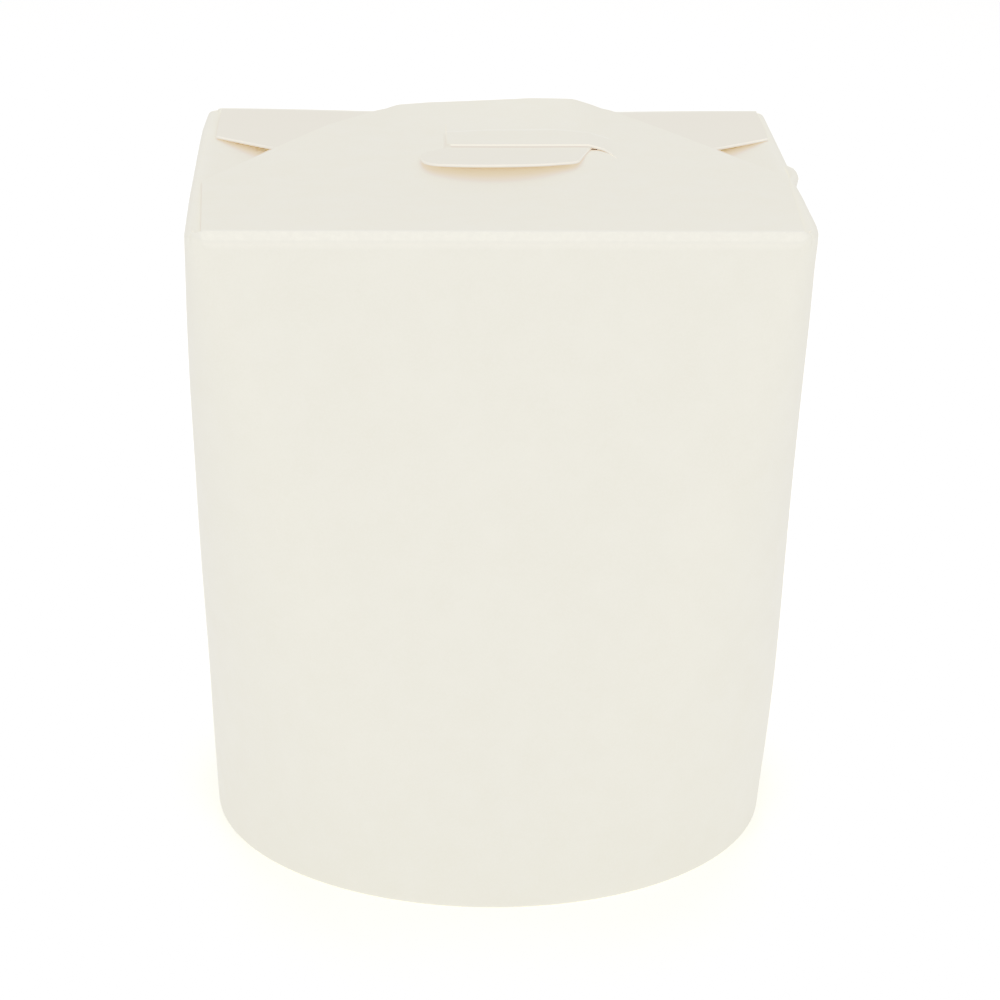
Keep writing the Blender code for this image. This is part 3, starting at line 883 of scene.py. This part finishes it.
def side_flap(side):
    """A side flap: it sinks from its fold towards the middle of the box."""
    def top(x, y):
        inward = SIDE_START_X - side * x
        edge = HEIGHT - SIDE_DROP - SIDE_FOLD_SINK + warp(x, y) * smooth_step(side * x, *SIDE_WARP_SPAN)
        return edge - SIDE_SLOPE * np.maximum(0, inward) - SIDE_SINK * smooth_step(inward, *SIDE_SINK_SPAN)

    # Paler at the fold: wear and a painted highlight
    def worn_and_highlit(x, y):
        return SIDE_WEAR_AND_HIGHLIGHT * smooth_step(side * x, SIDE_START_X - FOLD_WEAR_AND_HIGHLIGHT_REACH, SIDE_START_X)

    start = side * (SIDE_START_X + SIDE_BOW)
    inner = start - side * SIDE_CORNER_CUT[0]
    straight = SIDE_HALF_DEPTH - SIDE_CORNER_CUT[1]
    end, narrow = side * SIDE_END_X, SIDE_HALF_DEPTH - SIDE_TAPER
    outline = [
        (inner, -SIDE_HALF_DEPTH), (start, -straight), (start, straight), (inner, SIDE_HALF_DEPTH),
        (end, narrow), (end, -narrow),
    ]
    if side < 0:
        outline = outline[::-1]
    return board("side_flap_right" if side > 0 else "side_flap_left", outline, [], top, worn_and_highlit)


# Base disc


def base_disc():
    """The round board pressed into the foot, with a turned-down rim and a shallow pressed ring."""
    top = FOOT_DEPTH - CLEARANCE
    outer = FOOT_DIAMETER / 2 - FOOT_WALL - CLEARANCE
    turn = 2 * BOARD
    bottom = top - turn - DISC_RIM
    centre = outer - turn
    profile = [(0.0, top), *((x, top + z) for x, z in DISC_RING_ABOVE), (centre, top)]
    for step in range(1, DISC_TURN_STEPS + 1):
        angle = pi / 2 * step / DISC_TURN_STEPS
        profile.append((centre + turn * sin(angle), top - turn + turn * cos(angle)))
    profile += [
        (outer, bottom + DISC_ROUND), (outer - DISC_ROUND, bottom),
        (outer - BOARD + DISC_ROUND, bottom), (outer - BOARD, bottom + DISC_ROUND),
    ]
    inner_turn = turn - BOARD
    for step in range(DISC_TURN_STEPS + 1):
        angle = pi / 2 * (1 - step / DISC_TURN_STEPS)
        profile.append((centre + inner_turn * sin(angle), top - turn + inner_turn * cos(angle)))
    low = top - BOARD
    profile += [*((x, low + z) for x, z in DISC_RING_BELOW), (0.0, low)]
    mesh = bpy.data.meshes.new("base_board")
    mesh.from_pydata([(x, 0, z) for x, z in profile], [(i, i + 1) for i in range(len(profile) - 1)], [])
    bm = bmesh.new()
    bm.from_mesh(mesh)
    bmesh.ops.spin(
        bm, geom=bm.verts[:] + bm.edges[:], cent=(0, 0, 0), axis=(0, 0, 1), angle=2 * pi, steps=DISC_STEPS,
        use_merge=True, use_duplicate=False,
    )
    bmesh.ops.remove_doubles(bm, verts=bm.verts, dist=SAME_DISC_PLACE)
    bmesh.ops.recalc_face_normals(bm, faces=bm.faces)
    for face in bm.faces:
        face.smooth = True
        face.material_index = 1 if face.calc_center_median().z < bottom + DISC_RAW_LEVEL else 0
    bm.to_mesh(mesh)
    bm.free()
    mesh.materials.append(base_plain)
    mesh.materials.append(raw_edge)
    return linked("base_board", mesh)


# Materials


class Graph:
    """Makes and joins the nodes of one material."""

    def __init__(self, name):
        self.material = bpy.data.materials.new(name)
        self.material.use_nodes = True
        self.nodes = self.material.node_tree.nodes
        self.links = self.material.node_tree.links
        self.shader = self.nodes["Principled BSDF"]
        self.place = self.nodes.new("ShaderNodeTexCoord").outputs["Object"]

    def node(self, kind, values=(), **settings):
        made = self.nodes.new(kind)
        for key, value in settings.items():
            setattr(made, key, value)
        for key, value in dict(values).items():
            made.inputs[key].default_value = value
        return made

    def stretched(self, scale):
        mapping = self.node("ShaderNodeMapping", {"Scale": scale})
        self.links.new(self.place, mapping.inputs["Vector"])
        return mapping.outputs["Vector"]

    def noise(self, scale, detail, roughness=0.5, place=None):
        made = self.node("ShaderNodeTexNoise", {"Scale": scale, "Detail": detail, "Roughness": roughness})
        self.links.new(place or self.place, made.inputs["Vector"])
        return made.outputs["Fac"]

    def ranged(self, value, source, target):
        limits = {"From Min": source[0], "From Max": source[1], "To Min": target[0], "To Max": target[1]}
        made = self.node("ShaderNodeMapRange", limits)
        self.links.new(value, made.inputs["Value"])
        return made.outputs["Result"]

    def mixed(self, share, first, second):
        made = self.node("ShaderNodeMix", data_type="RGBA")
        colours = [socket for socket in made.inputs if socket.type == "RGBA"]
        self.links.new(share, made.inputs[0])
        for socket, value in zip(colours, (first, second)):
            if isinstance(value, tuple):
                socket.default_value = (*value, 1.0)
            else:
                self.links.new(value, socket)
        return [socket for socket in made.outputs if socket.type == "RGBA"][0]

    def summed(self, first, second, weight):
        made = self.node("ShaderNodeMath", operation="MULTIPLY_ADD")
        made.inputs[1].default_value = weight
        self.links.new(second, made.inputs[0])
        self.links.new(first, made.inputs[2])
        return made.outputs["Value"]

    def attribute(self, name):
        return self.node("ShaderNodeAttribute", attribute_name=name).outputs["Fac"]

    def bump(self, height, strength, distance):
        made = self.node("ShaderNodeBump", {"Strength": strength, "Distance": distance})
        self.links.new(height, made.inputs["Height"])
        self.links.new(made.outputs["Normal"], self.shader.inputs["Normal"])

    def surface(self, colour, rough, specular):
        """Sets the shader's colour, its roughness (a socket or a number) and its gloss."""
        self.links.new(colour, self.shader.inputs["Base Color"])
        if isinstance(rough, float):
            self.shader.inputs["Roughness"].default_value = rough
        else:
            self.links.new(rough, self.shader.inputs["Roughness"])
        self.shader.inputs["Specular IOR Level"].default_value = specular

    def glow(self, colour, strength):
        self.shader.inputs["Emission Color"].default_value = (*colour, 1.0)
        self.shader.inputs["Emission Strength"].default_value = strength


def coated_board():
    """Cream coated board: cloudy colour, fine speckle, lengthwise fibres under the coating, folds paler from
    wear and a painted highlight.
    """
    graph = Graph("coated_board")
    clouds = graph.noise(scale=160, detail=5, roughness=0.62)
    speckle = graph.noise(scale=2400, detail=3, roughness=0.6)
    fibres = graph.noise(scale=1.0, detail=4, roughness=0.6, place=graph.stretched((2600, 2600, 420)))
    colour = graph.mixed(graph.ranged(clouds, (0.3, 0.7), (0, 1)), BOARD_CREAM, BOARD_CREAM_DEEP)
    colour = graph.mixed(graph.ranged(speckle, (0.35, 0.7), (0, 0.35)), colour, BOARD_PALE)
    colour = graph.mixed(graph.attribute("sheet_tone"), colour, SHEET_DEEP)
    # Wear and a painted highlight pale the folds and creases
    wear_and_highlight = graph.attribute("fold_wear_and_highlight")
    patches = graph.ranged(graph.noise(scale=900, detail=4, roughness=0.7), (0.4, 0.7), (0.55, 0.9))
    broken = graph.node("ShaderNodeMath", operation="MULTIPLY")
    graph.links.new(wear_and_highlight, broken.inputs[0])
    graph.links.new(patches, broken.inputs[1])
    colour = graph.mixed(broken.outputs["Value"], colour, FOLD_PALE_AND_HIGHLIGHT)
    graph.surface(colour, graph.ranged(clouds, (0.3, 0.7), COAT_ROUGH), COAT_SPECULAR)
    graph.bump(graph.summed(speckle, fibres, weight=0.8), strength=0.25, distance=0.000012)
    return graph.material


def uncoated_board(name, cream, deep):
    """The board's plain side: warmer, matt and more fibrous."""
    graph = Graph(name)
    clouds = graph.noise(scale=120, detail=4, roughness=0.6)
    fibres = graph.noise(scale=1.0, detail=5, roughness=0.65, place=graph.stretched((1800, 1800, 300)))
    colour = graph.mixed(graph.ranged(clouds, (0.3, 0.7), (0, 1)), cream, deep)
    colour = graph.mixed(graph.ranged(fibres, (0.5, 0.75), (0, 0.5)), colour, BOARD_PALE)
    graph.surface(colour, graph.ranged(clouds, (0.3, 0.7), PLAIN_ROUGH), PLAIN_SPECULAR)
    graph.bump(fibres, strength=0.5, distance=0.00003)
    return graph.material


def raw_board_edge():
    """The cut edge: pale pulp in thin layers, with a painted glow that brightens it."""
    graph = Graph("raw_board_edge")
    layers = graph.noise(scale=1.0, detail=3, roughness=0.6, place=graph.stretched((500, 500, 14000)))
    pulp = graph.noise(scale=4200, detail=4, roughness=0.7)
    colour = graph.mixed(graph.ranged(layers, (0.35, 0.65), (0, 1)), EDGE_PALE, EDGE_WARM)
    graph.surface(colour, graph.ranged(pulp, (0.3, 0.7), EDGE_ROUGH), EDGE_SPECULAR)
    # painted light: the cut edge glows a little warm, brighter than the lamps light it
    graph.glow(EDGE_WARM, EDGE_PAINTED_GLOW)
    graph.bump(graph.summed(pulp, layers, weight=0.7), strength=0.6, distance=0.00004)
    return graph.material


# Surroundings


def camera():
    """The camera where the photo's was."""
    data = bpy.data.cameras.new("camera")
    data.sensor_width = SENSOR
    data.sensor_height = SENSOR
    data.sensor_fit = "HORIZONTAL"
    data.lens = CAMERA_LENS
    data.clip_start = CAMERA_NEAR
    data.clip_end = CAMERA_FAR
    item = linked("camera", data)
    turned = Euler((pi / 2 - CAMERA_PITCH, 0, CAMERA_TURN), "XYZ").to_matrix().to_4x4()
    item.matrix_world = Matrix.Translation(CAMERA_PLACE) @ turned @ Matrix.Rotation(CAMERA_ROLL, 4, "Z")
    bpy.context.scene.camera = item


def soft_light(name, place, aim, size, power, colour=(1, 1, 1)):
    """A round area light that the camera doesn't see."""
    data = bpy.data.lights.new(name, "AREA")
    data.shape = "DISK"
    data.size = size
    data.energy = power
    data.color = colour
    item = linked(name, data)
    item.location = place
    item.rotation_euler = (Vector(aim) - Vector(place)).to_track_quat("-Z", "Y").to_euler()
    item.visible_camera = False


def film_response(settings):
    """A bright product photo's exposure: shadows stay light and the pale floor turns white."""
    settings.use_curve_mapping = True
    curves = settings.curve_mapping.curves
    for curve, points in zip(curves, (FILM_RED, FILM_GREEN, FILM_BLUE)):
        for point in points:
            curve.points.new(*point).handle_type = "AUTO_CLAMPED"
    settings.curve_mapping.update()


def studio():
    """White surroundings with large soft lights in front, high in front and above behind."""
    scene = bpy.context.scene
    scene.view_settings.view_transform = "Standard"
    film_response(scene.view_settings)
    scene.cycles.diffuse_bounces = DIFFUSE_BOUNCES
    world = bpy.data.worlds.new("studio")
    world.use_nodes = True
    surroundings = world.node_tree.nodes["Background"]
    surroundings.inputs["Color"].default_value = (*WORLD_COLOUR, 1)
    surroundings.inputs["Strength"].default_value = WORLD_STRENGTH
    scene.world = world
    soft_light("front_light", FRONT_PLACE, BOX_MIDDLE, FRONT_SIZE, FRONT_POWER)
    soft_light("key_light", KEY_PLACE, BOX_MIDDLE, KEY_SIZE, KEY_POWER)
    soft_light("top_light", TOP_PLACE, BOX_TOP, TOP_SIZE, TOP_POWER, TOP_COLOUR)


def floor():
    """A plain pale floor, with a rounded edge far outside the view."""
    bm = bmesh.new()
    bmesh.ops.create_circle(bm, cap_ends=True, segments=FLOOR_SIDES, radius=FLOOR_RADIUS)
    mesh = bpy.data.meshes.new("floor")
    bm.to_mesh(mesh)
    bm.free()
    graph = Graph("pale_floor")
    graph.surface(graph.mixed(graph.noise(scale=6, detail=2), *FLOOR_SHADES), FLOOR_ROUGH, FLOOR_SPECULAR)
    graph.glow((1, 1, 1), FLOOR_GLOW)
    mesh.materials.append(graph.material)
    item = linked("floor", mesh)


coated = coated_board()
uncoated = uncoated_board("uncoated_board", PLAIN_CREAM, PLAIN_CREAM_DEEP)
base_plain = uncoated_board("base_board", BASE_CREAM, BASE_CREAM_DEEP)
raw_edge = raw_board_edge()

carton_pieces = [body_wrap(), side_flap(-1), side_flap(1), back_flap(), front_flap()]
for piece in carton_pieces:
    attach(piece, root)
    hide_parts("carton")
disc = base_disc()
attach(disc, root)
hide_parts("base_disc")

floor()
studio()
camera()
